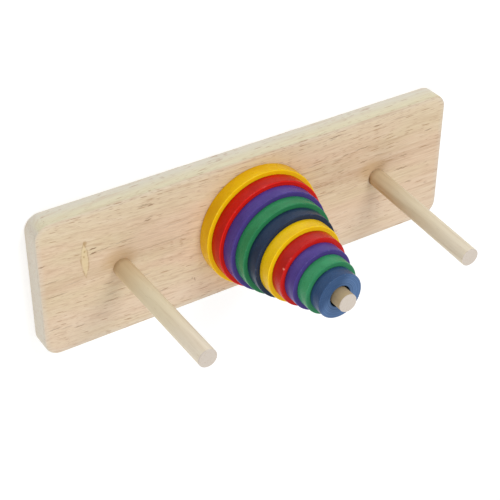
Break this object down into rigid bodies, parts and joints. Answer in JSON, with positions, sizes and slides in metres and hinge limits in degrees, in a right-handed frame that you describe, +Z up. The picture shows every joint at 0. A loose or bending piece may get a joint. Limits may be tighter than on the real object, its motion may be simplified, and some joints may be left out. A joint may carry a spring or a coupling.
{
  "type": "tower of hanoi puzzle",
  "caption": "Wooden peg puzzle: a round-cornered board with upright pegs and a tapering stack of coloured flat discs that lift off the pegs and move between them.",
  "frame": {"origin": "centre of the board's underside, on the surface the board rests on", "axes": "+X along the row of pegs towards the leaning right peg, +Y across the board, +Z up along the upright left and centre pegs"},
  "size_m": [0.314, 0.1, 0.1209],
  "materials": {
    "board_wood": "sanded pale hardwood, thin clear lacquer",
    "peg_wood": "plain birch dowel, sanded, unpainted",
    "paint_yellow": "turned wood, semi-gloss yellow paint",
    "paint_red": "turned wood, semi-gloss red paint",
    "paint_purple": "turned wood, semi-gloss purple paint",
    "paint_green": "turned wood, semi-gloss green paint",
    "paint_blue": "turned wood, semi-gloss blue paint"
  },
  "bodies": {
    "base": {"base_board": "board_wood", "peg_left": "peg_wood", "peg_centre": "peg_wood", "peg_right": "peg_wood"},
    "disc_01": {"disc_01": "paint_yellow"},
    "disc_02": {"disc_02": "paint_red"},
    "disc_03": {"disc_03": "paint_purple"},
    "disc_04": {"disc_04": "paint_green"},
    "disc_05": {"disc_05": "paint_blue"},
    "disc_06": {"disc_06": "paint_yellow"},
    "disc_07": {"disc_07": "paint_red"},
    "disc_08": {"disc_08": "paint_purple"},
    "disc_09": {"disc_09": "paint_green"},
    "disc_10": {"disc_10": "paint_blue"}
  },
  "joints": [
    {"name": "disc_01_lift", "type": "slide", "parent": "base", "child": "disc_01", "axis": [0, 0, 1], "range_m": [0, 0.1105]},
    {"name": "disc_02_lift", "type": "slide", "parent": "disc_01", "child": "disc_02", "axis": [0, 0, 1], "range_m": [0, 0.1008]},
    {"name": "disc_03_lift", "type": "slide", "parent": "disc_02", "child": "disc_03", "axis": [0, 0, 1], "range_m": [0, 0.0911]},
    {"name": "disc_04_lift", "type": "slide", "parent": "disc_03", "child": "disc_04", "axis": [0, 0, 1], "range_m": [0, 0.0814]},
    {"name": "disc_05_lift", "type": "slide", "parent": "disc_04", "child": "disc_05", "axis": [0, 0, 1], "range_m": [0, 0.0717]},
    {"name": "disc_06_lift", "type": "slide", "parent": "disc_05", "child": "disc_06", "axis": [0, 0, 1], "range_m": [0, 0.062]},
    {"name": "disc_07_lift", "type": "slide", "parent": "disc_06", "child": "disc_07", "axis": [0, 0, 1], "range_m": [0, 0.0523]},
    {"name": "disc_08_lift", "type": "slide", "parent": "disc_07", "child": "disc_08", "axis": [0, 0, 1], "range_m": [0, 0.0426]},
    {"name": "disc_09_lift", "type": "slide", "parent": "disc_08", "child": "disc_09", "axis": [0, 0, 1], "range_m": [0, 0.0329]},
    {"name": "disc_10_lift", "type": "slide", "parent": "disc_09", "child": "disc_10", "axis": [0, 0, 1], "range_m": [0, 0.0232]}
  ]
}
